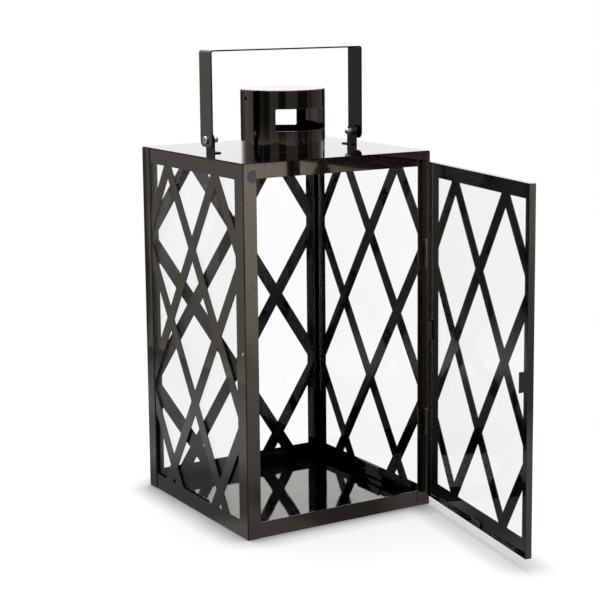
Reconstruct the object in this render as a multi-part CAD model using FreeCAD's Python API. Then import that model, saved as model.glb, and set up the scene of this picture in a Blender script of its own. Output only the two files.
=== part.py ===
import FreeCAD, Part
import math
import os

from FreeCAD import Vector

os.makedirs("parts", exist_ok=True)

# Candle lantern, all sizes in millimetres.
# The origin is on the ground under the middle of the body and +Z is up.
# The door side faces -Y. The lattice sides face -X, +X and +Y.

# Body
BODY_W = 220.0              # side to side over the rear posts
BODY_D = 220.0              # front post faces to rear post faces
BODY_H = 374.0              # ground to the top of the roof
SHEET = 0.8                 # sheet steel of the body and the door
POST_FLANGE = 15.5          # both flanges of a rear post
POST_CORNER = 5.0           # rounding of the posts' free corners
JAMB_FACE = 13.9            # front flange of a front post
JAMB_SIDE = 15.0            # side flange of a front post, inside the lattice
HEADER_H = 14.8             # strip over the doorway
HEADER_LEG = 12.0           # its leg under the roof
SILL_H = 16.0               # strip under the doorway
SILL_LEG = 12.0             # its leg on the floor
ROOF_CORNER = 3.0           # rounding of the roof's corners
FLUE_D = 76.0               # hole in the roof under the chimney

# Side lattice
SIDE_STILE = 17.25          # outside of the body to the pierced field
SIDE_RAIL_LOW = 16.6        # plain rail under the field
SIDE_RAIL_TOP = 15.9        # plain rail over the field
SIDE_MID_Z = 196.5          # height of the middle diamond
SIDE_STEP_A = 52.0          # half a diamond, sideways
SIDE_STEP_Z = 80.6          # half a diamond, upwards
BAR_W = 13.3                # width of a lattice bar
PUNCH_R = 0.6               # rounding of the punched corners

# Glass
GLASS = 2.0
PANE_SET = 1.0              # air between a side lattice and its pane
PANE_END = 6.4              # neighbouring wall to a side pane's edge
PANE_LOW = 9.0              # height of a side pane's lower edge
PANE_TOP = 8.0              # roof to the pane's upper edge
CLIP = 0.6                  # thickness of a pane clip
CLIP_LEN = 44.0             # length of a side pane clip
CLIP_FOOT = 6.6             # welded foot of a side pane clip
CLIP_LIP = 8.0              # lip in front of a side pane
CLIP_GAP = 0.2              # air between a lip and its pane
CLIP_PLAY = 0.3             # air over a side pane

# Chimney
TUBE_D = 88.0
TUBE_H = 61.8
TUBE_FOOT_D = 78.0          # inside of the foot flange
VENT_W = 56.4               # front vent
REAR_VENT_W = 67.0
VENT_H = 22.4
VENT_Z = 21.2               # roof to the lower edge of a vent
VENT_R = 1.5
DRAFT_D = 5.4               # small holes on the left and right
DRAFT_Z = 53.4              # roof to the middle of a small hole
CAP_SKIRT = 5.0             # skirt of the cap, inside the tube
CAP_GAP = 0.3               # air between the skirt and the tube

# Handle
EAR = 1.2                   # thickness of an ear
EAR_W = 17.5
EAR_FOOT = 8.0              # foot on the roof, with the upright
EAR_INSET = 23.9            # side of the body to the outer face of an ear
EAR_TIP = 6.5               # pivot to the top of an ear
EAR_R = 6.0
PIVOT_Z = 13.4              # roof to the pivot
STRAP = 1.5                 # thickness of the handle strap
STRAP_W = 25.0
STRAP_TOP = 104.4           # roof to the top of the strap
STRAP_END = 7.0             # pivot to the lower end of the strap
STRAP_END_R = 6.5
STRAP_FOLD_R = 1.5          # inside of the two folds

# Pivot screws, washers and nuts
SCREW_D = 4.0
SCREW_HEAD_D = 8.4
SCREW_HEAD = 2.6
SCREW_TIP = 1.0             # thread beyond the nut's hexagon
RECESS_LEN = 4.4            # cross recess in the head
RECESS_W = 0.9
RECESS_DEEP = 1.3
WASHER_D = 9.0
WASHER = 2.6
NUT_AF = 7.0
NUT = 3.2                   # hexagon of a cap nut
NUT_DOME = 4.8              # dome beyond the hexagon
NUT_DOME_D = 6.5
NUT_WELL = 1.0              # air between the screw's tip and the end of its hole
PIVOT_FIT = 0.05            # air round the screw, each side
PIVOT_PLAY = 0.1            # air beside the strap, each side

# Hinges
HINGE_IN = 5.5              # hinge axis to the outside of the body, sideways
HINGE_OUT = 2.0             # hinge axis to the face of the front posts
HINGE_H = 28.0
HINGE_Z = (268.0, 90.0)     # middles of the two hinges
KNUCKLE_D = 3.4
KNUCKLE_END = 9.0           # upper and lower knuckle
KNUCKLE_GAP = 0.3
PIN_D = 1.8
PIN_HEAD_D = 2.8
PIN_HEAD = 0.7
PIN_FIT = 0.05              # air round the pin, each side
LEAF = 0.8                  # thickness of a leaf
LEAF_REACH = 10.0           # hinge axis to the far edge of the fixed leaf
LEAF_CLEAR = 2.1            # hinge axis to the fixed leaf's plate
DOOR_LEAF_W = 5.9           # width of the leaf on the door
DOOR_LEAF_IN = 0.3          # door rim to the edge of that leaf

# Door
DOOR_REST = 80.0            # degrees open as stored
DOOR_GAP = 1.0              # shut door's rim to the front posts
DOOR_DEPTH = 6.5
DOOR_EDGE = 2.8             # hinge axis to the door
DOOR_OVER = 0.5             # free edge beyond the body's side
DOOR_LOW = 12.0             # ground to the door
DOOR_TOP = 10.6             # roof's top to the door
DOOR_BORDER = 15.5
DOOR_STEP_A = 52.0          # half a diamond, sideways
DOOR_PANE_SET = 0.2         # air between the door's lattice and its pane
DOOR_PANE_PLAY = 0.7        # air round the pane's edges
DOOR_CLIP_LEN = 20.0
DOOR_CLIP_FOOT = 2.7
DOOR_CLIP_LIP = 4.4

# Catch
CATCH = 0.8
CATCH_H = 19.5
CATCH_Z = 181.5
CATCH_REACH = 9.5           # beyond the door's rim
CATCH_FLARE = 1.0           # outward set of the tip
CATCH_FLARE_LEN = 3.0
CATCH_EDGE = 0.5            # outer edge back from the door's face
STUD_D = 3.2
STUD_H = 0.9
STUD_IN = 5.0               # behind the front posts' face
STUD_Z = 187.0

# Places that follow from the sizes above
HALF_W = BODY_W / 2
HALF_D = BODY_D / 2
ROOF_LOW = BODY_H - SHEET
SIDE_OUT = HALF_W - SHEET           # outer face of a side lattice
SIDE_IN = SIDE_OUT - SHEET
BACK_OUT = HALF_D - SHEET           # outer face of the rear lattice
BACK_IN = BACK_OUT - SHEET
JAMB_OUT = SIDE_IN                  # outer side of a front post
JAMB_IN = JAMB_OUT - SHEET
FRONT = -HALF_D                     # face of the front posts
STRIP_OUT = FRONT + SHEET           # face of the header and the sill
STRIP_IN = STRIP_OUT + SHEET
EAR_OUT = HALF_W - EAR_INSET
EAR_IN = EAR_OUT - EAR
STRAP_IN = EAR_OUT + WASHER + PIVOT_PLAY
STRAP_OUT = STRAP_IN + STRAP
HEAD_IN = STRAP_OUT + PIVOT_PLAY
PIVOT_LEVEL = BODY_H + PIVOT_Z
AXIS_X = HALF_W - HINGE_IN
AXIS_Y = FRONT - HINGE_OUT
DOOR_END = AXIS_X + HALF_W + DOOR_OVER
DOOR_Z0 = DOOR_LOW
DOOR_Z1 = BODY_H - DOOR_TOP
DOOR_RIM = -(HINGE_OUT - DOOR_GAP)  # door's rim, measured outward from the hinge axis
DOOR_FACE = DOOR_RIM + DOOR_DEPTH
LEFT_RIGHT = Vector(1, 0, 0)


def point(axis, a, b, level):
    """Point with plane coordinates a and b at a level along the axis."""
    if axis == "x":
        return Vector(level, a, b)
    if axis == "y":
        return Vector(a, level, b)
    return Vector(a, b, level)


def rounded(before, corner, after, radius):
    """Start, middle and end of the arc that rounds a corner."""
    back = (before - corner).normalize()
    ahead = (after - corner).normalize()
    half = back.getAngle(ahead) / 2
    reach = radius / math.tan(half)
    middle = (back + ahead).normalize()
    crown = radius / math.sin(half) - radius
    return corner + back * reach, corner + middle * crown, corner + ahead * reach


def plate(corners, axis, start, end):
    """Flat plate with corners (a, b) or (a, b, radius), reaching from start to end along the axis."""
    spots = [point(axis, c[0], c[1], start) for c in corners]
    radii = [c[2] if len(c) > 2 else 0 for c in corners]
    path = []
    for i, spot in enumerate(spots):
        if radii[i] > 0:
            path.append(rounded(spots[i - 1], spot, spots[(i + 1) % len(spots)], radii[i]))
        else:
            path.append((spot, None, spot))
    edges = []
    for i, (first, crown, last) in enumerate(path):
        if crown is not None:
            edges.append(Part.Arc(first, crown, last).toShape())
        edges.append(Part.makeLine(last, path[(i + 1) % len(path)][0]))
    face = Part.Face(Part.Wire(edges))
    return face.extrude(point(axis, 0, 0, end - start))


def rectangle(a0, b0, a1, b1, radius=0):
    """Corners of a rectangle with one rounding."""
    return [(a0, b0, radius), (a1, b0, radius), (a1, b1, radius), (a0, b1, radius)]


def block(x0, x1, y0, y1, z0, z1):
    """Plain block between two opposite corners."""
    return Part.makeBox(x1 - x0, y1 - y0, z1 - z0, Vector(x0, y0, z0))


def rod(axis, a, b, start, end, diameter):
    """Round rod from start to end along the axis."""
    foot = point(axis, a, b, start)
    return Part.makeCylinder(diameter / 2, end - start, foot, point(axis, 0, 0, 1))


def joined(shapes):
    """One solid from pieces of the same part."""
    return shapes[0].fuse(shapes[1:]).removeSplitter()


def mirrored(shape):
    """The same shape on the other side of the lantern."""
    return shape.mirror(Vector(0, 0, 0), LEFT_RIGHT)


def save(node, *solids):
    """Write one node as one solid or as a group of separate solids."""
    shape = solids[0] if len(solids) == 1 else Part.makeCompound(list(solids))
    shape.exportStep("parts/" + node + ".step")


def lattice_holes(axis, start, end, field, middle, steps):
    """Punched holes left between the crossing bars in a rectangular field."""
    a0, b0, a1, b1 = field
    run, rise = steps
    slant = math.hypot(run, rise)
    side = BAR_W / 2 * slant / rise
    reach = 2 * (b1 - b0) / rise
    bars = []
    for way in (1, -1):
        for step in (-3, -1, 1, 3):
            a = middle[0] + step * run
            da = way * reach * run
            db = reach * rise
            low = (a - da, middle[1] - db)
            high = (a + da, middle[1] + db)
            corners = [(low[0] - side, low[1]), (low[0] + side, low[1]),
                       (high[0] + side, high[1]), (high[0] - side, high[1])]
            bars.append(plate(corners, axis, start, end))
    open_field = plate(rectangle(a0, b0, a1, b1), axis, start, end).cut(bars)
    along = point(axis, 0, 0, 1)
    holes = []
    for hole in open_field.Solids:
        corners = [e for e in hole.Edges if abs(abs(e.tangentAt(e.FirstParameter).dot(along)) - 1) < 1e-6]
        holes.append(hole.makeFillet(PUNCH_R, corners))
    return holes


def side_lattice(axis, a0, a1, start, end):
    """Flat pierced sheet that fills one side of the body."""
    sheet = plate(rectangle(a0, 0, a1, ROOF_LOW), axis, start, end)
    half = (HALF_D if axis == "x" else HALF_W) - SIDE_STILE
    field = (-half, SIDE_RAIL_LOW, half, ROOF_LOW - SIDE_RAIL_TOP)
    holes = lattice_holes(axis, start, end, field, (0, SIDE_MID_Z), (SIDE_STEP_A, SIDE_STEP_Z))
    return sheet.cut(holes)


def rear_post():
    """Angle round the rear left corner."""
    inner_y = HALF_D - POST_FLANGE
    side = plate([(HALF_D, 0), (HALF_D, ROOF_LOW), (inner_y, ROOF_LOW, POST_CORNER), (inner_y, 0, POST_CORNER)],
                 "x", -HALF_W, -SIDE_OUT)
    inner_x = POST_FLANGE - HALF_W
    back = plate([(-HALF_W, 0), (inner_x, 0, POST_CORNER), (inner_x, ROOF_LOW, POST_CORNER), (-HALF_W, ROOF_LOW)],
                 "y", BACK_OUT, HALF_D)
    return joined([side, back])


def front_post():
    """Angle at the front left corner, with its side flange inside the lattice."""
    inner_x = JAMB_FACE - JAMB_OUT
    face = plate([(-JAMB_OUT, 0), (inner_x, 0, POST_CORNER), (inner_x, ROOF_LOW, POST_CORNER), (-JAMB_OUT, ROOF_LOW)],
                 "y", FRONT, STRIP_OUT)
    side = block(-JAMB_OUT, -JAMB_IN, FRONT, FRONT + JAMB_SIDE, 0, ROOF_LOW)
    return joined([face, side])


def header():
    """Strip over the doorway with a leg under the roof."""
    face = block(-JAMB_IN, JAMB_IN, STRIP_OUT, STRIP_IN, ROOF_LOW - HEADER_H, ROOF_LOW)
    leg = block(-JAMB_IN, JAMB_IN, STRIP_OUT, STRIP_OUT + HEADER_LEG, ROOF_LOW - SHEET, ROOF_LOW)
    return joined([face, leg])


def sill():
    """Strip under the doorway with a leg on the floor."""
    face = block(-JAMB_IN, JAMB_IN, STRIP_OUT, STRIP_IN, 0, SILL_H)
    leg = block(-JAMB_IN, JAMB_IN, STRIP_OUT, STRIP_OUT + SILL_LEG, SHEET, 2 * SHEET)
    return joined([face, leg])


def floor_plate():
    """Floor with notches round the front posts' side flanges."""
    notch = FRONT + JAMB_SIDE
    corners = [(-JAMB_IN, STRIP_IN), (JAMB_IN, STRIP_IN), (JAMB_IN, notch), (SIDE_IN, notch),
               (SIDE_IN, BACK_IN), (-SIDE_IN, BACK_IN), (-SIDE_IN, notch), (-JAMB_IN, notch)]
    return plate(corners, "z", 0, SHEET)


def roof_plate():
    """Flat roof with the flue hole."""
    top = plate(rectangle(-HALF_W, -HALF_D, HALF_W, HALF_D, ROOF_CORNER), "z", ROOF_LOW, BODY_H)
    return top.cut(rod("z", 0, 0, ROOF_LOW, BODY_H, FLUE_D))


def side_pane(axis, inner_face):
    """Glass behind one lattice, standing on its lower clip. The inner face may be on either side."""
    way = 1 if inner_face > 0 else -1
    outer = inner_face - way * PANE_SET
    inner = outer - way * GLASS
    half = (BACK_IN if axis == "x" else SIDE_IN) - PANE_END
    corners = rectangle(-half, PANE_LOW, half, BODY_H - PANE_TOP)
    return plate(corners, axis, min(outer, inner), max(outer, inner))


def side_clips():
    """Lower and upper clip of the right pane, welded to the inside of the lattice rails."""
    wall = SIDE_IN
    lip_out = wall - PANE_SET - GLASS - CLIP_GAP
    lip_in = lip_out - CLIP
    low = PANE_LOW
    high = BODY_H - PANE_TOP + CLIP_PLAY
    clips = []
    for shelf, way in ((low, 1), (high, -1)):
        back = shelf - way * CLIP
        foot = shelf - way * CLIP_FOOT
        lip = shelf + way * CLIP_LIP
        corners = [(wall, foot), (wall, shelf), (lip_out, shelf), (lip_out, lip), (lip_in, lip),
                   (lip_in, back), (wall - CLIP, back), (wall - CLIP, foot)]
        clips.append(plate(corners, "y", -CLIP_LEN / 2, CLIP_LEN / 2))
    return clips


def pane_clips():
    """Clips of the right, left and rear panes."""
    right = side_clips()
    left = [mirrored(clip) for clip in right]
    rear = []
    for clip in right:
        turned = clip.copy()
        turned.rotate(Vector(0, 0, 0), Vector(0, 0, 1), 90)
        turned.translate(Vector(0, BACK_IN - SIDE_IN, 0))
        rear.append(turned)
    return right + left + rear


def chimney_tube():
    """Tube on the roof with a foot flange, two vents and two small holes."""
    top = BODY_H + TUBE_H
    tube = rod("z", 0, 0, BODY_H, top, TUBE_D)
    tube = tube.cut(rod("z", 0, 0, BODY_H + SHEET, top, TUBE_D - 2 * SHEET))
    tube = tube.cut(rod("z", 0, 0, BODY_H, BODY_H + SHEET, TUBE_FOOT_D))
    low = BODY_H + VENT_Z
    cuts = []
    for width, start, end in ((VENT_W, -TUBE_D, 0), (REAR_VENT_W, 0, TUBE_D)):
        cuts.append(plate(rectangle(-width / 2, low, width / 2, low + VENT_H, VENT_R), "y", start, end))
    cuts.append(rod("x", 0, BODY_H + DRAFT_Z, -TUBE_D, TUBE_D, DRAFT_D))
    return tube.cut(cuts)


def chimney_cap():
    """Flat cap with a skirt inside the tube."""
    rim = BODY_H + TUBE_H
    skirt_d = TUBE_D - 2 * SHEET - 2 * CAP_GAP
    disc = rod("z", 0, 0, rim, rim + SHEET, TUBE_D)
    skirt = rod("z", 0, 0, rim - CAP_SKIRT, rim, skirt_d)
    skirt = skirt.cut(rod("z", 0, 0, rim - CAP_SKIRT, rim, skirt_d - 2 * SHEET))
    return joined([disc, skirt])


def ear():
    """Right ear with its foot on the roof and a hole for the pivot screw."""
    half = EAR_W / 2
    top = PIVOT_LEVEL + EAR_TIP
    upright = plate([(-half, BODY_H), (half, BODY_H), (half, top, EAR_R), (-half, top, EAR_R)], "x", EAR_IN, EAR_OUT)
    foot = block(EAR_OUT - EAR_FOOT, EAR_OUT, -half, half, BODY_H, BODY_H + EAR)
    hole = rod("x", 0, PIVOT_LEVEL, EAR_IN, EAR_OUT, SCREW_D + 2 * PIVOT_FIT)
    return joined([upright, foot]).cut(hole)


def pivot_screw():
    """Right pan head screw with a cross recess."""
    tip = EAR_IN - NUT - SCREW_TIP
    shank = rod("x", 0, PIVOT_LEVEL, tip, HEAD_IN, SCREW_D)
    head = rod("x", 0, PIVOT_LEVEL, HEAD_IN, HEAD_IN + SCREW_HEAD, SCREW_HEAD_D)
    crown = [e for e in head.Edges if abs(e.BoundBox.XMin - HEAD_IN - SCREW_HEAD) < 1e-6]
    head = head.makeFillet(SCREW_HEAD * 0.55, crown)
    face = HEAD_IN + SCREW_HEAD
    long = RECESS_LEN / 2
    wide = RECESS_W / 2
    upright = block(face - RECESS_DEEP, face, -wide, wide, PIVOT_LEVEL - long, PIVOT_LEVEL + long)
    level = block(face - RECESS_DEEP, face, -long, long, PIVOT_LEVEL - wide, PIVOT_LEVEL + wide)
    return joined([shank, head]).cut([upright, level])


def pivot_washer():
    """Right washer between the ear and the strap."""
    ring = rod("x", 0, PIVOT_LEVEL, EAR_OUT, EAR_OUT + WASHER, WASHER_D)
    return ring.cut(rod("x", 0, PIVOT_LEVEL, EAR_OUT, EAR_OUT + WASHER, SCREW_D + 2 * PIVOT_FIT))


def pivot_nut():
    """Right cap nut inside the ear: a hexagon with its corners turned off, and a dome."""
    radius = NUT_AF / math.sqrt(3)
    corners = []
    for i in range(6):
        turn = math.radians(60 * i)
        corners.append((radius * math.cos(turn), PIVOT_LEVEL + radius * math.sin(turn)))
    hexagon = plate(corners, "x", EAR_IN - NUT, EAR_IN)
    blank = rod("x", 0, PIVOT_LEVEL, EAR_IN - NUT, EAR_IN, 2 * radius)
    rims = [e for e in blank.Edges if e.BoundBox.XLength < 1e-6]
    blank = blank.makeChamfer((2 * radius - NUT_AF) / 2, rims)
    end = EAR_IN - NUT - NUT_DOME
    dome = rod("x", 0, PIVOT_LEVEL, end, EAR_IN - NUT, NUT_DOME_D)
    tip = [e for e in dome.Edges if abs(e.BoundBox.XMax - end) < 1e-6]
    dome = dome.makeFillet(NUT_DOME_D * 0.46, tip)
    hole = rod("x", 0, PIVOT_LEVEL, EAR_IN - NUT - SCREW_TIP - NUT_WELL, EAR_IN, SCREW_D + 2 * PIVOT_FIT)
    return joined([hexagon.common(blank), dome]).cut(hole)


def handle_strap():
    """Flat strap folded square over the chimney, with rounded ends."""
    low = PIVOT_LEVEL - STRAP_END
    top = BODY_H + STRAP_TOP
    fold = STRAP_FOLD_R + STRAP
    half = STRAP_W / 2
    outside = plate([(-STRAP_OUT, low), (STRAP_OUT, low), (STRAP_OUT, top, fold), (-STRAP_OUT, top, fold)],
                    "y", -half, half)
    inside = plate([(-STRAP_IN, low), (STRAP_IN, low), (STRAP_IN, top - STRAP, STRAP_FOLD_R),
                    (-STRAP_IN, top - STRAP, STRAP_FOLD_R)], "y", -half, half)
    ends = plate([(-half, low, STRAP_END_R), (half, low, STRAP_END_R), (half, top), (-half, top)],
                 "x", -STRAP_OUT, STRAP_OUT)
    holes = rod("x", 0, PIVOT_LEVEL, -STRAP_OUT, STRAP_OUT, SCREW_D + 2 * PIVOT_FIT)
    return outside.cut(inside).common(ends).cut(holes)


def knuckle(low, high):
    """One hinge knuckle on the axis at the origin, with its bore."""
    return rod("z", 0, 0, low, high, KNUCKLE_D), rod("z", 0, 0, low, high, PIN_D + 2 * PIN_FIT)


def fixed_leaf(middle):
    """Leaf on the right front post, with the upper and lower knuckles."""
    low = middle - HINGE_H / 2
    high = middle + HINGE_H / 2
    face = HINGE_OUT
    pieces = [block(-LEAF_REACH, -LEAF_CLEAR, face - LEAF, face, low, high)]
    bores = []
    for z0, z1 in ((low, low + KNUCKLE_END), (high - KNUCKLE_END, high)):
        barrel, bore = knuckle(z0, z1)
        pieces += [barrel, block(-LEAF_CLEAR, 0, face - LEAF, face, z0, z1)]
        bores.append(bore)
    leaf = joined(pieces).cut(bores)
    leaf.translate(Vector(AXIS_X, AXIS_Y, 0))
    return leaf


def hinge_pin(middle):
    """Pin through the three knuckles, hanging by its head."""
    low = middle - HINGE_H / 2
    high = middle + HINGE_H / 2
    pin = joined([rod("z", 0, 0, low, high, PIN_D), rod("z", 0, 0, high, high + PIN_HEAD, PIN_HEAD_D)])
    pin.translate(Vector(AXIS_X, AXIS_Y, 0))
    return pin


def swung(shape):
    """Place a piece of the door, drawn from the hinge axis along +X, at its stored opening."""
    turned = shape.copy()
    turned.rotate(Vector(0, 0, 0), Vector(0, 0, 1), 180 + DOOR_REST)
    turned.translate(Vector(AXIS_X, AXIS_Y, 0))
    return turned


def door_leaf(middle):
    """Leaf on the door's hinge flange, with the middle knuckle."""
    low = middle - HINGE_H / 2
    high = middle + HINGE_H / 2
    barrel, bore = knuckle(low + KNUCKLE_END + KNUCKLE_GAP, high - KNUCKLE_END - KNUCKLE_GAP)
    first = DOOR_EDGE - LEAF
    inner = DOOR_RIM + DOOR_LEAF_IN
    flat = block(first, DOOR_EDGE, inner, inner + DOOR_LEAF_W, low, high)
    crown = KNUCKLE_D / 2
    bridge = block(0, first, crown - LEAF, crown, low + KNUCKLE_END + KNUCKLE_GAP, high - KNUCKLE_END - KNUCKLE_GAP)
    return swung(joined([flat, barrel, bridge]).cut(bore))


def door_tray():
    """Pierced door sheet with flanges turned inward all round."""
    tray = block(DOOR_EDGE, DOOR_END, DOOR_RIM, DOOR_FACE, DOOR_Z0, DOOR_Z1)
    hollow = block(DOOR_EDGE + SHEET, DOOR_END - SHEET, DOOR_RIM, DOOR_FACE - SHEET, DOOR_Z0 + SHEET, DOOR_Z1 - SHEET)
    field = (DOOR_EDGE + DOOR_BORDER, DOOR_Z0 + DOOR_BORDER, DOOR_END - DOOR_BORDER, DOOR_Z1 - DOOR_BORDER)
    middle = ((DOOR_EDGE + DOOR_END) / 2, (DOOR_Z0 + DOOR_Z1) / 2)
    rise = (field[3] - field[1]) / 4
    holes = lattice_holes("y", DOOR_FACE - SHEET, DOOR_FACE, field, middle, (DOOR_STEP_A, rise))
    return swung(tray.cut(hollow).cut(holes))


def door_pane():
    """Glass inside the door, standing on the lower flange."""
    outer = DOOR_FACE - SHEET - DOOR_PANE_SET
    edge = SHEET + DOOR_PANE_PLAY
    return swung(block(DOOR_EDGE + edge, DOOR_END - edge, outer - GLASS, outer, DOOR_Z0 + SHEET, DOOR_Z1 - edge))


def door_pane_clips():
    """Small angles at the middle of each flange that keep the door's pane in."""
    front = DOOR_FACE - SHEET - DOOR_PANE_SET - GLASS - CLIP_GAP
    back = front - DOOR_CLIP_FOOT
    left = DOOR_EDGE + SHEET
    right = DOOR_END - SHEET
    low = DOOR_Z0 + SHEET
    high = DOOR_Z1 - SHEET
    mid_u = (left + right) / 2
    mid_z = (low + high) / 2
    half = DOOR_CLIP_LEN / 2
    clips = []
    for wall, way in ((left, 1), (right, -1)):
        corners = [(wall, back), (wall + way * CLIP, back), (wall + way * CLIP, front - CLIP),
                   (wall + way * DOOR_CLIP_LIP, front - CLIP), (wall + way * DOOR_CLIP_LIP, front), (wall, front)]
        clips.append(swung(plate(corners, "z", mid_z - half, mid_z + half)))
    for wall, way in ((low, 1), (high, -1)):
        corners = [(back, wall), (back, wall + way * CLIP), (front - CLIP, wall + way * CLIP),
                   (front - CLIP, wall + way * DOOR_CLIP_LIP), (front, wall + way * DOOR_CLIP_LIP), (front, wall)]
        clips.append(swung(plate(corners, "x", mid_u - half, mid_u + half)))
    return clips


def catch_spring():
    """Springy tab on the door's free edge, with its tip set outward."""
    tip = DOOR_RIM - CATCH_REACH
    bend = tip + CATCH_FLARE_LEN
    edge = DOOR_FACE - CATCH_EDGE
    corners = [(DOOR_END, edge), (DOOR_END, bend), (DOOR_END + CATCH_FLARE, tip),
               (DOOR_END + CATCH_FLARE + CATCH, tip), (DOOR_END + CATCH, bend), (DOOR_END + CATCH, edge)]
    return swung(plate(corners, "z", CATCH_Z - CATCH_H / 2, CATCH_Z + CATCH_H / 2))


def catch_stud():
    """Low round stud on the left side that the tab springs over."""
    stud = rod("x", FRONT + STUD_IN, STUD_Z, -SIDE_OUT - STUD_H, -SIDE_OUT, STUD_D)
    crown = [e for e in stud.Edges if abs(e.BoundBox.XMax + SIDE_OUT + STUD_H) < 1e-6]
    return stud.makeFillet(STUD_H * 0.6, crown)


def build_body():
    """Write the sheet metal and the glass of the body."""
    left = side_lattice("x", FRONT, BACK_OUT, -SIDE_OUT, -SIDE_IN)
    save("left_lattice", left)
    save("right_lattice", mirrored(left))
    save("rear_lattice", side_lattice("y", -SIDE_IN, SIDE_IN, BACK_IN, BACK_OUT))
    save("rear_left_post", rear_post())
    save("rear_right_post", mirrored(rear_post()))
    save("front_left_post", front_post())
    save("front_right_post", mirrored(front_post()))
    save("header", header())
    save("sill", sill())
    save("floor_plate", floor_plate())
    save("roof_plate", roof_plate())
    save("left_pane", side_pane("x", -SIDE_IN))
    save("right_pane", side_pane("x", SIDE_IN))
    save("rear_pane", side_pane("y", BACK_IN))
    save("pane_clips", *pane_clips())
    save("catch_stud", catch_stud())


def build_top():
    """Write the chimney and the handle with its pivots."""
    save("chimney_tube", chimney_tube())
    save("chimney_cap", chimney_cap())
    save("right_ear", ear())
    save("left_ear", mirrored(ear()))
    save("pivot_screws", pivot_screw(), mirrored(pivot_screw()))
    save("pivot_washers", pivot_washer(), mirrored(pivot_washer()))
    save("pivot_nuts", pivot_nut(), mirrored(pivot_nut()))
    save("handle_strap", handle_strap())


def build_door():
    """Write the door, its hinges and its catch."""
    upper, lower = HINGE_Z
    save("upper_fixed_leaf", fixed_leaf(upper))
    save("lower_fixed_leaf", fixed_leaf(lower))
    save("upper_door_leaf", door_leaf(upper))
    save("lower_door_leaf", door_leaf(lower))
    save("hinge_pins", hinge_pin(upper), hinge_pin(lower))
    save("door_tray", door_tray())
    save("door_pane", door_pane())
    save("door_pane_clips", *door_pane_clips())
    save("catch_spring", catch_spring())


build_body()
build_top()
build_door()
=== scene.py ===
"""Candle lantern: finishes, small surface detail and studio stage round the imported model."""

import math

import bpy
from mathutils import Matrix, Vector


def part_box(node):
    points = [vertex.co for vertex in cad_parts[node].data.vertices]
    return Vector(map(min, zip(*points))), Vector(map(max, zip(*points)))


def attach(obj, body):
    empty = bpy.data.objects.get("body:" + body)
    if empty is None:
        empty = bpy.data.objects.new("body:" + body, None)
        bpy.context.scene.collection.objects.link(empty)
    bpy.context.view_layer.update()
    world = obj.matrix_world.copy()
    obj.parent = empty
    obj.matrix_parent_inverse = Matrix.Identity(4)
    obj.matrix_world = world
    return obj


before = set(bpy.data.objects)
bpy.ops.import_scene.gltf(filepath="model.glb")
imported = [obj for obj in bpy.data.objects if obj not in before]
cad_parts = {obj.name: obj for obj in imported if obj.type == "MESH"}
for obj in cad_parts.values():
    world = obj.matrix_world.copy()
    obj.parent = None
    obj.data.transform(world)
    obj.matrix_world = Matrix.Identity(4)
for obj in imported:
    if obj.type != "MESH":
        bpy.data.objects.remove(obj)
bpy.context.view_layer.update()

bl_info = {
    "name": "Candle lantern",
    "version": (1, 0, 0),
    "blender": (4, 5, 0),
    "location": "3D View > Sidebar > Lantern",
    "description": "Finishes a sheet-steel candle lantern and sets its studio stage",
    "category": "Object",
}

MM = 0.001

# Spot welds of the front posts, at their upper and lower ends: x, y, z and radius in mm.
SPOT_WELDS = (
    (-98, -110, 361, 7.6),
    (-104, -110, 8, 1.5),
    (-98, -110, 6, 1.4),
    (101, -110, 366, 4.0),
    (98, -110, 361, 3.0),
    (101, -110, 7, 4.5),
    (104, -110, 13, 3.0),
)

# Thin black strips in the seams, painted shade in the gaps between the sheets, in mm: their width, their
# height and how far they stop before the sheet's ends.
SEAM_WIDE = 1.1
SEAM_PROUD = 0.06
SEAM_END = 0.5

# Stage sizes are in metres. A heading is a level direction from the lantern's middle.
FLOOR_DROP = 0.3 * MM
SHADOW_MIDDLE = (0.05, -0.08, 0)
SHADOW_FADES, SHADOW_ENDS = 0.2, 0.42
# Painted contact shade on the board: ambient occlusion within this reach, raised to this power.
CONTACT_REACH = 35 * MM
CONTACT_DEPTH = 2.2
ROOM_STARTS, ROOM_FULL = 3.5, 4.3
BACKDROP_HEADING = (0.54, 0.84, 0)
SIDE_WALL_HEADING = (-0.6, 0.8, 0)
LAMP_SIZE = 1.1
LAMP_PLACE = (0.12, 0.28, 1.6)
LAMP_AIM = (0, 0, 0.2)
CARD_WIDE, CARD_HIGH = 0.42, 0.54
CARD_PLACE = (-0.3, 0.29, 0.33)
CARD_COLOUR = "#FFF8EE"
SENSOR_WIDE = 36
VIEW_DEPTH = 100

# The board's painted reflection in metal: its light over its distance, which is given as a share of the
# reach, grey close by as painted shade.
BOARD_REACH = 5.0
BOARD_LIGHT = ((0.0, 0.28), (0.18, 0.6), (0.55, 1.0), (1.0, 1.0))

# Painted shade and painted light on the board's reflection in metal, by sector: heading, its dot product
# where the sector starts and where it is full, the share of light, and the distances where it starts and
# is full.
BOARD_SECTORS = (
    ((-0.42, 0.91, 0), 0.8, 0.95, 0.2, 0.4, 0.8),  # painted shade behind and to the left
    ((-0.25, 0.97, 0), 0.95, 0.985, 0.25, 0.85, 1.05),  # painted shade at the foot of the shade behind and to the left
    ((-0.2, 0.98, 0), 0.9, 0.96, 0.25, 0.5, 0.4),  # painted shade close behind the body
    ((0.15, -0.989, 0), 0.9, 0.97, 0.45, 0.29, 0.22),  # painted shade before the doorway, under the open door
    ((0.62, -0.78, 0), 0.98, 0.993, 0.25, 0.28, 0.42),  # painted shade in front to the right
    ((0.174, -0.985, 0), 0.985, 0.991, 0.34, 0.7, 0.95),  # painted shade in front to the left
    ((0.42, -0.907, 0), 0.985, 0.997, 1.3, 0.7, 1.1),  # painted light, the brightest strip, between the two shaded sectors in front
    ((-0.9, 0.44, 0), 0.6, 0.8, 0.5, 0.28, 0.2),  # painted shade close beside the left sheet
)


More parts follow.
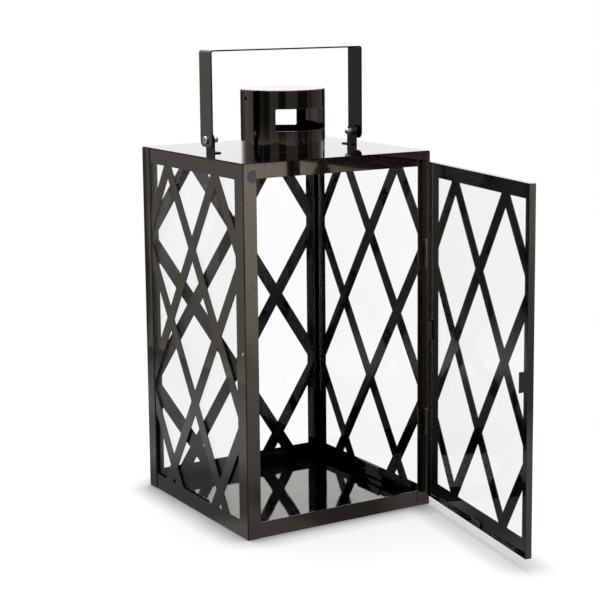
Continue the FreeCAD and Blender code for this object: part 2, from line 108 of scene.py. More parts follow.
def linear(code, alpha=1.0):
    """Linear colour of an sRGB hex value."""
    parts = [int(code[i:i + 2], 16) / 255 for i in (1, 3, 5)]
    levels = [c / 12.92 if c <= 0.04045 else ((c + 0.055) / 1.055) ** 2.4 for c in parts]
    return (*levels, alpha)


def add(tree, kind, inputs=None, **settings):
    """Add one node with its settings; inputs hold values or sockets to link."""
    node = tree.nodes.new(kind)
    for name, value in settings.items():
        setattr(node, name, value)
    for name, value in (inputs or {}).items():
        if isinstance(value, bpy.types.NodeSocket):
            tree.links.new(value, node.inputs[name])
        else:
            node.inputs[name].default_value = value
    return node


def draw_curve(node, spots):
    """Give a Float Curve node its points."""
    curve = node.mapping.curves[0]
    for x, y in spots[1:-1]:
        curve.points.new(x, y)
    curve.points[0].location = spots[0]
    curve.points[-1].location = spots[-1]
    node.mapping.update()


def new_material(name):
    """Empty node material and its tree."""
    material = bpy.data.materials.new(name)
    material.use_nodes = True
    material.node_tree.nodes.clear()
    return material, material.node_tree


# Settings


class LanternFinish(bpy.types.PropertyGroup):
    """Colours and surface sizes of the lantern."""

    nickel: bpy.props.FloatVectorProperty(
        name="Black nickel", description="Polished black nickel plating",
        subtype="COLOR", size=4, min=0, max=1, default=linear("#5D5346"))
    nickel_deep: bpy.props.FloatVectorProperty(
        name="Black nickel, thick", description="Plating where it lies thicker",
        subtype="COLOR", size=4, min=0, max=1, default=linear("#463F37"))
    nickel_back: bpy.props.FloatVectorProperty(
        name="Plated back", description="Unpolished inner side of the sheet",
        subtype="COLOR", size=4, min=0, max=1, default=linear("#1E1C1A"))
    weld_tint: bpy.props.FloatVectorProperty(
        name="Weld tint", description="Heat tint round a spot weld",
        subtype="COLOR", size=4, min=0, max=1, default=linear("#2B241D"))
    zinc: bpy.props.FloatVectorProperty(
        name="Zinc plate", description="Bright zinc of the screws and nuts",
        subtype="COLOR", size=4, min=0, max=1, default=linear("#E4E2DD"))
    glass: bpy.props.FloatVectorProperty(
        name="Float glass", description="Clear pane",
        subtype="COLOR", size=4, min=0, max=1, default=linear("#FFFFFF"))
    edge_round: bpy.props.FloatProperty(
        name="Sheet edge", description="Rounding of a deburred sheet edge",
        unit="LENGTH", precision=5, min=0, default=0.5 * MM)
    glass_edge: bpy.props.FloatProperty(
        name="Glass edge", description="Seamed edge of a pane",
        unit="LENGTH", precision=5, min=0, default=0.3 * MM)
    ripple: bpy.props.FloatProperty(
        name="Sheet ripple", description="Distance between the waves in the rolled sheet",
        unit="LENGTH", min=0.001, default=70 * MM)
    smear: bpy.props.FloatProperty(
        name="Polish smear", description="Size of the wiping marks on polished metal",
        unit="LENGTH", min=0.001, default=22 * MM)


class LanternStage(bpy.types.PropertyGroup):
    """Floor, light and camera."""

    floor_size: bpy.props.FloatProperty(
        name="Floor", description="Side of the pale floor",
        unit="LENGTH", min=1, default=30.0)
    floor_colour: bpy.props.FloatVectorProperty(
        name="Floor colour", description="Pale floor",
        subtype="COLOR", size=4, min=0, max=1, default=linear("#E8E8E8"))
    floor_lift: bpy.props.FloatProperty(
        name="Floor lift", description="Share of plain white in the floor close to the lantern",
        min=0, max=1, default=0.7)
    world_level: bpy.props.FloatProperty(
        name="Room light", description="Even light of the room",
        min=0, default=1.0)
    lamp_power: bpy.props.FloatProperty(
        name="Lamp", description="Soft lamp over the lantern",
        unit="POWER", min=0, default=26.0)
    card_level: bpy.props.FloatProperty(
        name="Side card", description="Brightness of the white card left of the lantern",
        min=0, default=0.19)
    lens: bpy.props.FloatProperty(
        name="Lens", description="Camera lens on a 36 mm sensor",
        unit="CAMERA", min=1, default=96.28)
    eye: bpy.props.FloatVectorProperty(
        name="Camera place", description="Where the camera stands",
        subtype="TRANSLATION", size=3, default=(-0.8441, -1.4425, 0.5346))
    tilt: bpy.props.FloatVectorProperty(
        name="Camera tilt", description="Camera turn about X, Y and Z",
        subtype="EULER", size=3,
        default=(math.radians(81.231), math.radians(0.557), math.radians(-30.992)))
    rise: bpy.props.FloatProperty(
        name="Camera shift", description="Vertical shift of the lens", default=-0.1)


# Materials


def weld_tints(tree, place, finish, welds, colour, roughness):
    """Lay the heat tints of spot welds over a colour and a roughness, and give both back.

    A patch is mottled inside, and the 2 mm mottle moves its dark rim in and out.
    """
    mottle = add(tree, "ShaderNodeTexNoise",
                 {"Vector": place, "Scale": 1 / (2 * MM), "Detail": 3.0})
    for x, y, z, radius in welds:
        away = add(tree, "ShaderNodeVectorMath", {0: place, 1: (x * MM, y * MM, z * MM)},
                   operation="DISTANCE")
        ragged = add(tree, "ShaderNodeMath",
                     {0: mottle.outputs["Fac"], 1: 0.7 * radius * MM, 2: away.outputs["Value"]},
                     operation="MULTIPLY_ADD")
        patch = add(tree, "ShaderNodeMapRange",
                    {"Value": ragged.outputs["Value"], "From Min": 1.15 * radius * MM,
                     "From Max": 1.25 * radius * MM, "To Min": 1.0, "To Max": 0.0})
        core = add(tree, "ShaderNodeMapRange",
                   {"Value": ragged.outputs["Value"], "From Min": 0.9 * radius * MM,
                    "From Max": 1.15 * radius * MM, "To Min": 0.4, "To Max": 1.0})
        mask = add(tree, "ShaderNodeMath",
                   {0: patch.outputs["Result"], 1: core.outputs["Result"]}, operation="MULTIPLY")
        burnt = add(tree, "ShaderNodeMix",
                    {"Factor": mask.outputs["Value"], "A": colour, "B": finish.weld_tint},
                    data_type="RGBA")
        colour = burnt.outputs["Result"]
        dull = add(tree, "ShaderNodeMath",
                   {0: patch.outputs["Result"], 1: 0.22, 2: roughness},
                   operation="MULTIPLY_ADD")
        roughness = dull.outputs["Value"]
    return colour, roughness


def black_nickel(finish, welds=()):
    """Sheet steel, buffed and plated in black nickel under clear lacquer.

    The eye sees a dark brown-grey mirror that turns bright at a low angle, with the slow waves of
    rolled sheet, faint wiping marks, small specks and, where given, the heat tints of spot welds.
    """
    material, tree = new_material("black_nickel_spot_welded" if welds else "black_nickel_polished")
    place = add(tree, "ShaderNodeTexCoord").outputs["Object"]
    # The plating is cloudy, in patches two or three ripples wide.
    cloud = add(tree, "ShaderNodeTexNoise",
                {"Vector": place, "Scale": 0.4 / finish.ripple, "Detail": 3.0})
    tint = add(tree, "ShaderNodeMix",
               {"Factor": cloud.outputs["Fac"], "A": finish.nickel, "B": finish.nickel_deep},
               data_type="RGBA")
    # Specks in the plating, 9 mm apart and some 2 mm across, where the lacquer is thin as well.
    speck_core, speck_rim = 0.08, 0.14
    speck = add(tree, "ShaderNodeTexVoronoi", {"Vector": place, "Scale": 1 / (9 * MM)})
    pit = add(tree, "ShaderNodeMapRange",
              {"Value": speck.outputs["Distance"], "From Min": speck_core, "From Max": speck_rim,
               "To Min": 0.6, "To Max": 0.0})
    pitted = add(tree, "ShaderNodeMix",
                 {"Factor": pit.outputs["Result"], "A": tint.outputs["Result"],
                  "B": finish.weld_tint}, data_type="RGBA")
    colour = pitted.outputs["Result"]
    # Wiping marks are long and thin, so the pattern is squeezed along one axis.
    long = add(tree, "ShaderNodeMapping", {"Vector": place, "Scale": (1.0, 1.0, 0.35)})
    smear = add(tree, "ShaderNodeTexNoise",
                {"Vector": long.outputs["Vector"], "Scale": 1 / finish.smear, "Detail": 5.0,
                 "Roughness": 0.6})
    rough = add(tree, "ShaderNodeMapRange",
                {"Value": smear.outputs["Fac"], "From Min": 0.35, "From Max": 0.75,
                 "To Min": 0.03, "To Max": 0.12})
    roughness = rough.outputs["Result"]
    # The lacquer lies thinner along the wiping marks.
    lacquer = add(tree, "ShaderNodeMapRange",
                  {"Value": smear.outputs["Fac"], "From Min": 0.3, "From Max": 0.7,
                   "To Min": 1.0, "To Max": 0.9})
    bare = add(tree, "ShaderNodeMapRange",
               {"Value": speck.outputs["Distance"], "From Min": speck_core, "From Max": speck_rim,
                "To Min": 0.45, "To Max": lacquer.outputs["Result"]})
    if welds:
        colour, roughness = weld_tints(tree, place, finish, welds, colour, roughness)
    # The sheet's waves are at most a quarter of a millimetre high.
    wave = add(tree, "ShaderNodeTexNoise",
               {"Vector": place, "Scale": 1 / finish.ripple, "Detail": 1.0})
    edge = add(tree, "ShaderNodeBevel", {"Radius": finish.edge_round}, samples=6)
    bump = add(tree, "ShaderNodeBump",
               {"Height": wave.outputs["Fac"], "Strength": 1.0, "Distance": 0.25 * MM,
                "Normal": edge.outputs["Normal"]})
    metal = add(tree, "ShaderNodeBsdfPrincipled",
                {"Base Color": colour, "Metallic": 1.0, "Roughness": roughness,
                 "Coat Weight": bare.outputs["Result"], "Coat Roughness": 0.03, "Coat IOR": 1.5,
                 "Normal": bump.outputs["Normal"], "Coat Normal": bump.outputs["Normal"]})
    add(tree, "ShaderNodeOutputMaterial", {"Surface": metal.outputs["BSDF"]})
    return material


def plated_back(finish):
    """Back of the same sheet, plated over the mill surface and never buffed.

    The eye sees a near-black satin with a fine rolling grain that runs up the sheet, and less shine near
    the floor, which is painted shade.
    """
    material, tree = new_material("black_nickel_mill_back")
    place = add(tree, "ShaderNodeTexCoord").outputs["Object"]
    # Rolling grain is about 0.3 mm wide and 10 mm long.
    grain_map = add(tree, "ShaderNodeMapping", {"Vector": place, "Scale": (1.0, 1.0, 0.03)})
    grain = add(tree, "ShaderNodeTexNoise",
                {"Vector": grain_map.outputs["Vector"], "Scale": 1 / (0.6 * MM), "Detail": 2.0})
    # The plating is worn paler in patches some 60 mm wide.
    cloud = add(tree, "ShaderNodeTexNoise",
                {"Vector": place, "Scale": 1 / (60 * MM), "Detail": 4.0})
    worn = add(tree, "ShaderNodeMapRange",
               {"Value": cloud.outputs["Fac"], "From Min": 0.4, "From Max": 0.65})
    tint = add(tree, "ShaderNodeMix",
               {"Factor": worn.outputs["Result"], "A": finish.nickel_back,
                "B": finish.nickel_deep}, data_type="RGBA")
    # Painted shade: the shine is taken off low on the sheet, most below 40 mm and none above 150 mm.
    height = add(tree, "ShaderNodeSeparateXYZ", {"Vector": place})
    painted_low_shade = add(tree, "ShaderNodeMapRange",
               {"Value": height.outputs["Z"], "From Min": 40 * MM, "From Max": 150 * MM,
                "To Min": 0.8, "To Max": 0.0})
    shine = add(tree, "ShaderNodeMix",
                {"Factor": painted_low_shade.outputs["Result"], "A": (1, 1, 1, 1), "B": finish.nickel_back},
                data_type="RGBA")
    rough = add(tree, "ShaderNodeMapRange",
                {"Value": grain.outputs["Fac"], "To Min": 0.12, "To Max": 0.26})
    bump = add(tree, "ShaderNodeBump",
               {"Height": grain.outputs["Fac"], "Strength": 0.15, "Distance": 0.01 * MM})
    metal = add(tree, "ShaderNodeBsdfPrincipled",
                {"Base Color": tint.outputs["Result"], "Metallic": 1.0,
                 "Roughness": rough.outputs["Result"], "Specular Tint": shine.outputs["Result"],
                 "Normal": bump.outputs["Normal"]})
    add(tree, "ShaderNodeOutputMaterial", {"Surface": metal.outputs["BSDF"]})
    return material


def zinc_plate(finish):
    """Small steel turned and plated in bright zinc.

    The eye sees pale grey metal with fine turning lines and slightly cloudy plating.
    """
    material, tree = new_material("zinc_plated_steel")
    place = add(tree, "ShaderNodeTexCoord").outputs["Object"]
    # The plating's clouds are 3 mm wide.
    cloud = add(tree, "ShaderNodeTexNoise",
                {"Vector": place, "Scale": 1 / (3 * MM), "Detail": 4.0})
    tint = add(tree, "ShaderNodeMix",
               {"Factor": cloud.outputs["Fac"], "A": finish.zinc, "B": linear("#BDBBB5")},
               data_type="RGBA")
    rough = add(tree, "ShaderNodeMapRange",
                {"Value": cloud.outputs["Fac"], "To Min": 0.16, "To Max": 0.36})
    # Turning lines are about 1 mm apart.
    lines = add(tree, "ShaderNodeTexWave",
                {"Vector": place, "Scale": 0.3 / MM, "Distortion": 1.5}, bands_direction="X")
    bump = add(tree, "ShaderNodeBump",
               {"Height": lines.outputs["Fac"], "Strength": 0.12, "Distance": 0.02 * MM})
    metal = add(tree, "ShaderNodeBsdfPrincipled",
                {"Base Color": tint.outputs["Result"], "Metallic": 1.0,
                 "Roughness": rough.outputs["Result"], "Normal": bump.outputs["Normal"]})
    add(tree, "ShaderNodeOutputMaterial", {"Surface": metal.outputs["BSDF"]})
    return material


def black_lacquer_and_seam_shade():
    """Black lacquer, brushed on the handle's ears, and laid on thin strips in the seams as painted
    shade.

    The eye sees near-black with a broken gloss.
    """
    material, tree = new_material("black_lacquer_and_seam_shade")
    place = add(tree, "ShaderNodeTexCoord").outputs["Object"]
    # Runs in the lacquer are about 6 mm wide.
    run = add(tree, "ShaderNodeTexNoise",
              {"Vector": place, "Scale": 1 / (6 * MM), "Detail": 3.0})
    rough = add(tree, "ShaderNodeMapRange",
                {"Value": run.outputs["Fac"], "To Min": 0.2, "To Max": 0.55})
    bump = add(tree, "ShaderNodeBump",
               {"Height": run.outputs["Fac"], "Strength": 0.4, "Distance": 0.1 * MM})
    coat = add(tree, "ShaderNodeBsdfPrincipled",
               {"Base Color": linear("#0D0C0B"), "Roughness": rough.outputs["Result"],
                "Specular IOR Level": 0.3, "Normal": bump.outputs["Normal"]})
    add(tree, "ShaderNodeOutputMaterial", {"Surface": coat.outputs["BSDF"]})
    return material


def float_glass(finish):
    """Clear float glass, 2 mm, with seamed edges.

    The eye sees through it with a faint veil of wiping marks, and hardly any reflection: the IOR
    is below plain glass's 1.5 because these panes mirror less than it would.
    """
    material, tree = new_material("float_glass")
    place = add(tree, "ShaderNodeTexCoord").outputs["Object"]
    # Wiping marks are 45 mm wide.
    film = add(tree, "ShaderNodeTexNoise",
               {"Vector": place, "Scale": 1 / (45 * MM), "Detail": 5.0})
    rough = add(tree, "ShaderNodeMapRange",
                {"Value": film.outputs["Fac"], "From Min": 0.45, "From Max": 0.8,
                 "To Min": 0.0, "To Max": 0.03})
    glass = add(tree, "ShaderNodeBsdfPrincipled",
                {"Base Color": finish.glass, "Roughness": rough.outputs["Result"], "IOR": 1.3,
                 "Transmission Weight": 1.0})
    # Light passes the panes straight, so that they throw hardly any shadow.
    clear = add(tree, "ShaderNodeBsdfTransparent", {"Color": linear("#F4F8F6")})
    path = add(tree, "ShaderNodeLightPath")
    light = add(tree, "ShaderNodeMixShader",
                {0: path.outputs["Is Shadow Ray"], 1: glass.outputs["BSDF"],
                 2: clear.outputs["BSDF"]})
    add(tree, "ShaderNodeOutputMaterial", {"Surface": light.outputs["Shader"]})
    return material


def room_walls(tree, heading):
    """Painted reflection, seen only in metal: light of the room's walls by heading, dim, in upright
    bands, and paler behind to the left.
    """
    bands = add(tree, "ShaderNodeTexNoise",
                {"Vector": heading, "Scale": 3.4, "Detail": 0.0, "W": 3.0}, noise_dimensions="4D")
    wall = add(tree, "ShaderNodeMapRange",
               {"Value": bands.outputs["Fac"], "From Min": 0.44, "From Max": 0.48,
                "To Min": 0.03, "To Max": 0.19})
    beside = add(tree, "ShaderNodeVectorMath", {0: heading, 1: SIDE_WALL_HEADING},
                 operation="DOT_PRODUCT")
    side = add(tree, "ShaderNodeMapRange",
               {"Value": beside.outputs["Value"], "From Min": 0.86, "From Max": 0.96,
                "To Min": wall.outputs["Result"], "To Max": 0.14})
    return side.outputs["Result"]


def board_in_view(tree, place, path, stage):
    """The board as the camera and the panes show it: white, with the lantern's shadow on it, part lit
    and part painted.
    """
    # The board's fibre is 4 mm wide.
    fibre = add(tree, "ShaderNodeTexNoise",
                {"Vector": place, "Scale": 1 / (4 * MM), "Detail": 2.0})
    tone = add(tree, "ShaderNodeMix",
               {"Factor": fibre.outputs["Fac"], "A": stage.floor_colour, "B": linear("#EBEBEB")},
               data_type="RGBA")
    matt = add(tree, "ShaderNodeBsdfDiffuse", {"Color": tone.outputs["Result"]})
    # The shadow fades out round the lantern and its open door, and the board is plain beyond.
    near = add(tree, "ShaderNodeVectorMath", {0: place, 1: SHADOW_MIDDLE}, operation="DISTANCE")
    fade = add(tree, "ShaderNodeMapRange",
               {"Value": near.outputs["Value"], "From Min": SHADOW_FADES, "From Max": SHADOW_ENDS,
                "To Min": stage.floor_lift, "To Max": 1.0})
    lift = add(tree, "ShaderNodeMath",
               {0: path.outputs["Is Camera Ray"], 1: fade.outputs["Result"]},
               operation="MULTIPLY")
    seen = add(tree, "ShaderNodeMath",
               {0: lift.outputs["Value"], 1: path.outputs["Is Transmission Ray"]},
               operation="MAXIMUM")
    # Painted shade: close under the sheets the board is darker, by its ambient occlusion.
    open_air = add(tree, "ShaderNodeAmbientOcclusion", {"Distance": CONTACT_REACH}, samples=8)
    painted_contact_shade = add(tree, "ShaderNodeMath", {0: open_air.outputs["AO"], 1: CONTACT_DEPTH},
                  operation="POWER")
    glow = add(tree, "ShaderNodeEmission", {"Strength": painted_contact_shade.outputs["Value"]})
    white = add(tree, "ShaderNodeMixShader",
                {0: seen.outputs["Value"], 1: matt.outputs["BSDF"], 2: glow.outputs["Emission"]})
    return white.outputs["Shader"]


def board_in_metal(tree, place):
    """Painted reflection: the board glows only in metal, grey close by as painted shade, white further
    out, and then the room's walls.
    """
    away = add(tree, "ShaderNodeVectorMath", {0: place}, operation="LENGTH").outputs["Value"]
    heading = add(tree, "ShaderNodeVectorMath", {0: place}, operation="NORMALIZE").outputs["Vector"]
    reach = add(tree, "ShaderNodeMath", {0: away, 1: BOARD_REACH}, operation="DIVIDE")
    board = add(tree, "ShaderNodeFloatCurve", {"Value": reach.outputs["Value"]})
    draw_curve(board, BOARD_LIGHT)
    light = board.outputs["Value"]
    for aim, starts, full, share, begin, end in BOARD_SECTORS:
        facing = add(tree, "ShaderNodeVectorMath", {0: heading, 1: aim}, operation="DOT_PRODUCT")
        sector = add(tree, "ShaderNodeMapRange",
                     {"Value": facing.outputs["Value"], "From Min": starts, "From Max": full,
                      "To Min": 1.0, "To Max": share})
        shade = add(tree, "ShaderNodeMapRange",
                    {"Value": away, "From Min": begin, "From Max": end,
                     "To Min": 1.0, "To Max": sector.outputs["Result"]})
        shaded = add(tree, "ShaderNodeMath", {0: light, 1: shade.outputs["Result"]},
                     operation="MULTIPLY")
        light = shaded.outputs["Value"]
    far = add(tree, "ShaderNodeMapRange",
              {"Value": away, "From Min": ROOM_STARTS, "From Max": ROOM_FULL,
               "To Min": light, "To Max": room_walls(tree, heading)})
    painted_reflection = add(tree, "ShaderNodeEmission", {"Strength": far.outputs["Result"]})
    return painted_reflection.outputs["Emission"]


def studio_floor(stage):
    """Pale matt board under the lantern.

    The eye sees plain white with a soft shadow, and in the metal a painted reflection of a board that is
    grey close by.
    """
    material, tree = new_material("pale_matt_board")
    path = add(tree, "ShaderNodeLightPath")
    place = add(tree, "ShaderNodeTexCoord").outputs["Object"]
    in_metal = add(tree, "ShaderNodeMath", {0: path.outputs["Glossy Depth"], 1: 1.0},
                   operation="MINIMUM")
    surface = add(tree, "ShaderNodeMixShader",
                  {0: in_metal.outputs["Value"], 1: board_in_view(tree, place, path, stage),
                   2: board_in_metal(tree, place)})
    add(tree, "ShaderNodeOutputMaterial", {"Surface": surface.outputs["Shader"]})
    return material


# Dressing of the pieces


def kept_material(name, make, *given):
    """A material made once and shared by its pieces."""
    return bpy.data.materials.get(name) or make(*given)


def polished():
    """The sheets' buffed side."""
    return kept_material("black_nickel_polished", black_nickel, bpy.context.scene.lantern_finish)


def mill_back():
    """The sheets' unpolished side."""
    return kept_material("black_nickel_mill_back", plated_back, bpy.context.scene.lantern_finish)


def lacquer_and_seam_shade():
    """The lacquer of the ears, and the painted shade of the seam strips."""
    return kept_material("black_lacquer_and_seam_shade", black_lacquer_and_seam_shade)


def round_edges(piece, width):
    """Weld the split corners of a CAD mesh and round its sharp edges."""
    weld = piece.modifiers.new("weld_corners", "WELD")
    weld.merge_threshold = 0.001 * MM
    bevel = piece.modifiers.new("deburred_edges", "BEVEL")
    bevel.width = width
    bevel.segments = 2
    bevel.limit_method = "ANGLE"
    bevel.angle_limit = math.radians(40)
    bevel.harden_normals = True


def dress(node, material, back=None, dull=None):
    """Give a CAD piece its material, and the back's material to the faces whose normal is dull."""
    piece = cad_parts[node]
    piece.data.materials.clear()
    piece.data.materials.append(material)
    if back is not None:
        piece.data.materials.append(back)
    for face in piece.data.polygons:
        face.material_index = int(back is not None and dull(face.normal))
    return piece


def thin_strips(name, boxes, material):
    """Thin raised strips, given by opposite corners in mm, that ride on the body."""
    sides = ((0, 4, 6, 2), (1, 3, 7, 5), (0, 1, 5, 4), (2, 6, 7, 3), (0, 2, 3, 1), (4, 5, 7, 6))
    spots = []
    faces = []
    for low, high in boxes:
        first = len(spots)
        for i in range(8):
            spots.append([(high if i >> axis & 1 else low)[axis] * MM for axis in range(3)])
        faces.extend([first + corner for corner in side] for side in sides)
    mesh = bpy.data.meshes.new(name)
    mesh.from_pydata(spots, [], faces)
    mesh.materials.append(material)
    strips = bpy.data.objects.new(name, mesh)
    bpy.context.scene.collection.objects.link(strips)
    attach(strips, "body")
    return strips


class LANTERN_OT_side_sheets(bpy.types.Operator):
    """Finish the pierced sides, polished outside and dull inside"""

    bl_idname = "lantern.side_sheets"
    bl_label = "Side sheets"

    def execute(self, context):
        sheets = (("left_lattice", (-1, 0, 0)), ("right_lattice", (1, 0, 0)),
                  ("rear_lattice", (0, 1, 0)))
        # The inner side and the cut edges stay dull.
        for node, outward in sheets:
            dress(node, polished(), mill_back(),
                  lambda normal, out=Vector(outward): normal.dot(out) < 0.9)
        return {"FINISHED"}


class LANTERN_OT_seams(bpy.types.Operator):
    """Draw thin black strips in the seams between the sheets and the posts, as painted shade in the gaps
    """

    bl_idname = "lantern.seams"
    bl_label = "Seams"

    def execute(self, context):
        left, right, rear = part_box("left_lattice"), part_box("right_lattice"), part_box("rear_lattice")
        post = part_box("rear_left_post")
        low, high = left[0].z / MM + SEAM_END, left[1].z / MM - SEAM_END
        front = left[0].y / MM
        flank = post[0].y / MM
        inset = post[1].x / MM
        boxes = []
        # On the left and right sheets: at the front corner, beside the rear post, under the roof.
        for face, way in ((left[0].x / MM, -1), (right[1].x / MM, 1)):
            near, far = sorted((face, face + way * SEAM_PROUD))
            for y in (front, flank - SEAM_WIDE):
                boxes.append(((near, y, low), (far, y + SEAM_WIDE, high)))
            boxes.append(((near, front + SEAM_WIDE, high - SEAM_WIDE / 2),
                          (far, flank - SEAM_WIDE, high)))
        # On the rear sheet: beside both posts.
        face = rear[1].y / MM
        for x in (inset, -inset - SEAM_WIDE):
            boxes.append(((x, face, low), (x + SEAM_WIDE, face + SEAM_PROUD, high)))
        thin_strips("seam_shade_strips", boxes, lacquer_and_seam_shade())
        return {"FINISHED"}


class LANTERN_OT_posts(bpy.types.Operator):
    """Finish the corner posts, with the heat tints of their spot welds"""

    bl_idname = "lantern.posts"
    bl_label = "Posts"

    def execute(self, context):
        tinted = black_nickel(context.scene.lantern_finish, SPOT_WELDS)
        for node in ("front_left_post", "front_right_post"):
            dress(node, tinted)
        for node in ("rear_left_post", "rear_right_post"):
            dress(node, polished())
        return {"FINISHED"}


class LANTERN_OT_strips(bpy.types.Operator):
    """Finish the strips over and under the doorway"""

    bl_idname = "lantern.strips"
    bl_label = "Doorway strips"

    def execute(self, context):
        for node in ("header", "sill"):
            dress(node, polished())
        return {"FINISHED"}


class LANTERN_OT_floor_and_roof(bpy.types.Operator):
    """Finish the mirror floor, and the roof with its dull cut edges"""

    bl_idname = "lantern.floor_and_roof"
    bl_label = "Floor and roof"

    def execute(self, context):
        dress("floor_plate", polished())
        dress("roof_plate", polished(), mill_back(), lambda normal: abs(normal.z) < 0.5)
        return {"FINISHED"}


class LANTERN_OT_panes(bpy.types.Operator):
    """Finish the four glass panes"""

    bl_idname = "lantern.panes"
    bl_label = "Panes"

    def execute(self, context):
        finish = context.scene.lantern_finish
        glass = float_glass(finish)
        for node in ("left_pane", "right_pane", "rear_pane", "door_pane"):
            round_edges(dress(node, glass), finish.glass_edge)
        return {"FINISHED"}


class LANTERN_OT_clips(bpy.types.Operator):
    """Finish the clips that hold the panes"""

    bl_idname = "lantern.clips"
    bl_label = "Pane clips"

    def execute(self, context):
        for node in ("pane_clips", "door_pane_clips"):
            dress(node, polished())
        return {"FINISHED"}


class LANTERN_OT_chimney(bpy.types.Operator):
    """Finish the chimney tube and its cap"""

    bl_idname = "lantern.chimney"
    bl_label = "Chimney"

    def execute(self, context):
        for node in ("chimney_tube", "chimney_cap"):
            dress(node, polished())
        return {"FINISHED"}


class LANTERN_OT_handle(bpy.types.Operator):
    """Finish the handle strap, with its dull cut edges, and the lacquered ears"""

    bl_idname = "lantern.handle"
    bl_label = "Handle"

    def execute(self, context):
        dress("handle_strap", polished(), mill_back(), lambda normal: abs(normal.y) > 0.9)
        for node in ("left_ear", "right_ear"):
            dress(node, lacquer_and_seam_shade())
        return {"FINISHED"}


class LANTERN_OT_fasteners(bpy.types.Operator):
    """Finish the screws, washers, nuts, hinge pins and catch stud"""

    bl_idname = "lantern.fasteners"
    bl_label = "Fasteners"

    def execute(self, context):
        zinc = zinc_plate(context.scene.lantern_finish)
        for node in ("pivot_screws", "pivot_washers", "pivot_nuts", "hinge_pins", "catch_stud"):
            dress(node, zinc)
        return {"FINISHED"}


class LANTERN_OT_hinges(bpy.types.Operator):
    """Finish the hinge leaves"""

    bl_idname = "lantern.hinges"
    bl_label = "Hinges"

    def execute(self, context):
        for node in ("upper_fixed_leaf", "lower_fixed_leaf", "upper_door_leaf", "lower_door_leaf"):
            dress(node, polished())
        return {"FINISHED"}


class LANTERN_OT_door(bpy.types.Operator):
    """Finish the door, polished outside and dull inside, and its catch"""

    bl_idname = "lantern.door"
    bl_label = "Door"

    def execute(self, context):
        # The door's inner side faces square to the line from its hinge to its catch.
        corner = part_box("catch_spring")[0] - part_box("upper_door_leaf")[0]
        along = Vector((corner.x, corner.y, 0)).normalized()
        inward = Vector((along.y, -along.x, 0))
        dress("door_tray", polished(), mill_back(), lambda normal: normal.dot(inward) > 0.9)
        dress("catch_spring", polished())
        return {"FINISHED"}


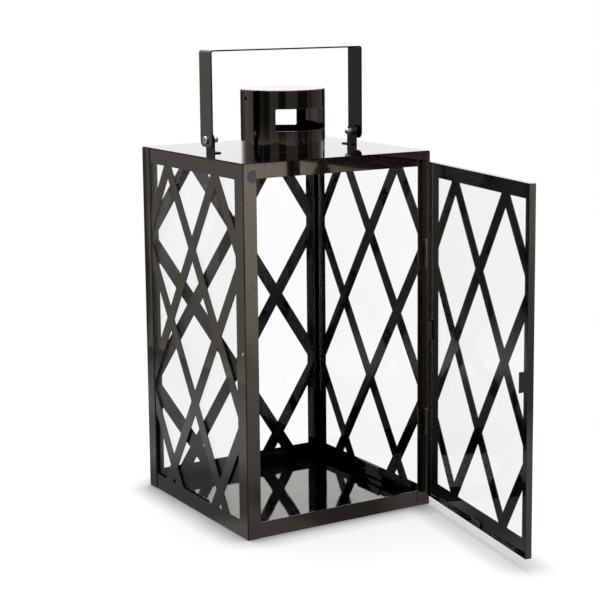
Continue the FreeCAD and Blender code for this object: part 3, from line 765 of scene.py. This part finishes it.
class LANTERN_OT_stage(bpy.types.Operator):
    """Set the pale floor, the room's light, the lamp, the side card and the camera"""

    bl_idname = "lantern.stage"
    bl_label = "Stage"

    def execute(self, context):
        scene = context.scene
        stage = scene.lantern_stage
        scene.view_settings.view_transform = "Standard"
        self.set_floor(scene, stage)
        self.set_world(scene, stage)
        self.set_lamp(scene, stage)
        self.set_card(scene, stage)
        self.set_camera(scene, stage)
        return {"FINISHED"}

    def set_floor(self, scene, stage):
        """Square board just under the lantern's base."""
        half = stage.floor_size / 2
        low = -FLOOR_DROP
        corners = [(-half, -half, low), (half, -half, low), (half, half, low), (-half, half, low)]
        mesh = bpy.data.meshes.new("pale_floor")
        mesh.from_pydata(corners, [], [(0, 1, 2, 3)])
        mesh.materials.append(studio_floor(stage))
        floor = bpy.data.objects.new("pale_floor", mesh)
        scene.collection.objects.link(floor)

    def set_world(self, scene, stage):
        """White to the camera and in the panes; in metal a painted reflection of a dim room, white
        behind and above.
        """
        world = bpy.data.worlds.new("white_room")
        world.use_nodes = True
        tree = world.node_tree
        tree.nodes.clear()
        path = add(tree, "ShaderNodeLightPath")
        place = add(tree, "ShaderNodeTexCoord").outputs["Generated"]
        seen = add(tree, "ShaderNodeMath",
                   {0: path.outputs["Is Camera Ray"], 1: path.outputs["Is Transmission Ray"]},
                   operation="MAXIMUM")
        level = add(tree, "ShaderNodeMapRange",
                    {"Value": seen.outputs["Value"], "To Min": stage.world_level, "To Max": 1.0})
        flat = add(tree, "ShaderNodeVectorMath", {0: place, 1: (1, 1, 0)}, operation="MULTIPLY")
        heading = add(tree, "ShaderNodeVectorMath", {0: flat.outputs["Vector"]},
                      operation="NORMALIZE").outputs["Vector"]
        behind = add(tree, "ShaderNodeVectorMath", {0: heading, 1: BACKDROP_HEADING},
                     operation="DOT_PRODUCT")
        backdrop = add(tree, "ShaderNodeMapRange",
                       {"Value": behind.outputs["Value"], "From Min": 0.46, "From Max": 0.82,
                        "To Min": room_walls(tree, heading), "To Max": 1.0})
        height = add(tree, "ShaderNodeSeparateXYZ", {"Vector": place})
        ceiling = add(tree, "ShaderNodeMapRange",
                      {"Value": height.outputs["Z"], "From Min": 0.25, "From Max": 0.6,
                       "To Min": backdrop.outputs["Result"], "To Max": 1.0})
        in_metal = add(tree, "ShaderNodeMath", {0: path.outputs["Glossy Depth"], 1: 1.0},
                       operation="MINIMUM")
        glow = add(tree, "ShaderNodeMix",
                   {"Factor": in_metal.outputs["Value"], "A": level.outputs["Result"],
                    "B": ceiling.outputs["Result"]})
        room = add(tree, "ShaderNodeBackground",
                   {"Color": (1, 1, 1, 1), "Strength": glow.outputs["Result"]})
        add(tree, "ShaderNodeOutputWorld", {"Surface": room.outputs["Background"]})
        scene.world = world

    def set_lamp(self, scene, stage):
        """Round soft lamp over the lantern and a little behind it."""
        light = bpy.data.lights.new("soft_lamp", "AREA")
        light.shape = "DISK"
        light.size = LAMP_SIZE
        light.energy = stage.lamp_power
        lamp = bpy.data.objects.new("soft_lamp", light)
        lamp.location = LAMP_PLACE
        aim = Vector(LAMP_AIM) - lamp.location
        lamp.rotation_euler = aim.to_track_quat("-Z", "Y").to_euler()
        scene.collection.objects.link(lamp)

    def set_card(self, scene, stage):
        """White card left of the lantern, which that side reflects and the camera doesn't see."""
        light = bpy.data.lights.new("side_card", "AREA")
        light.shape = "RECTANGLE"
        light.size = CARD_WIDE
        light.size_y = CARD_HIGH
        light.color = linear(CARD_COLOUR)[:3]
        light.energy = stage.card_level * math.pi * light.size * light.size_y
        card = bpy.data.objects.new("side_card", light)
        card.location = CARD_PLACE
        card.rotation_euler = (math.pi / 2, 0, -math.pi / 2)
        card.visible_camera = False
        card.visible_transmission = False
        scene.collection.objects.link(card)

    def set_camera(self, scene, stage):
        """Camera at the photograph's viewing angle."""
        view = bpy.data.cameras.new("photo_view")
        view.sensor_width = SENSOR_WIDE
        view.lens = stage.lens
        view.shift_y = stage.rise
        view.clip_end = VIEW_DEPTH
        camera = bpy.data.objects.new("photo_view", view)
        camera.location = stage.eye
        camera.rotation_euler = stage.tilt
        scene.collection.objects.link(camera)
        scene.camera = camera


class LANTERN_PT_panel(bpy.types.Panel):
    """Lantern pieces in the sidebar"""

    bl_label = "Candle lantern"
    bl_idname = "LANTERN_PT_panel"
    bl_space_type = "VIEW_3D"
    bl_region_type = "UI"
    bl_category = "Lantern"

    def draw(self, context):
        for step in OPERATORS:
            self.layout.operator(step.bl_idname)
        for group in (context.scene.lantern_finish, context.scene.lantern_stage):
            for name in group.__annotations__:
                self.layout.prop(group, name)


OPERATORS = (
    LANTERN_OT_side_sheets,
    LANTERN_OT_seams,
    LANTERN_OT_posts,
    LANTERN_OT_strips,
    LANTERN_OT_floor_and_roof,
    LANTERN_OT_panes,
    LANTERN_OT_clips,
    LANTERN_OT_chimney,
    LANTERN_OT_handle,
    LANTERN_OT_fasteners,
    LANTERN_OT_hinges,
    LANTERN_OT_door,
    LANTERN_OT_stage,
)
CLASSES = (LanternFinish, LanternStage, *OPERATORS, LANTERN_PT_panel)


def register():
    for cls in CLASSES:
        bpy.utils.register_class(cls)
    bpy.types.Scene.lantern_finish = bpy.props.PointerProperty(type=LanternFinish)
    bpy.types.Scene.lantern_stage = bpy.props.PointerProperty(type=LanternStage)


def unregister():
    del bpy.types.Scene.lantern_stage
    del bpy.types.Scene.lantern_finish
    for cls in reversed(CLASSES):
        bpy.utils.unregister_class(cls)


def main():
    register()
    for step in OPERATORS:
        group, name = step.bl_idname.split(".")
        getattr(getattr(bpy.ops, group), name)()


if __name__ == "__main__":
    main()
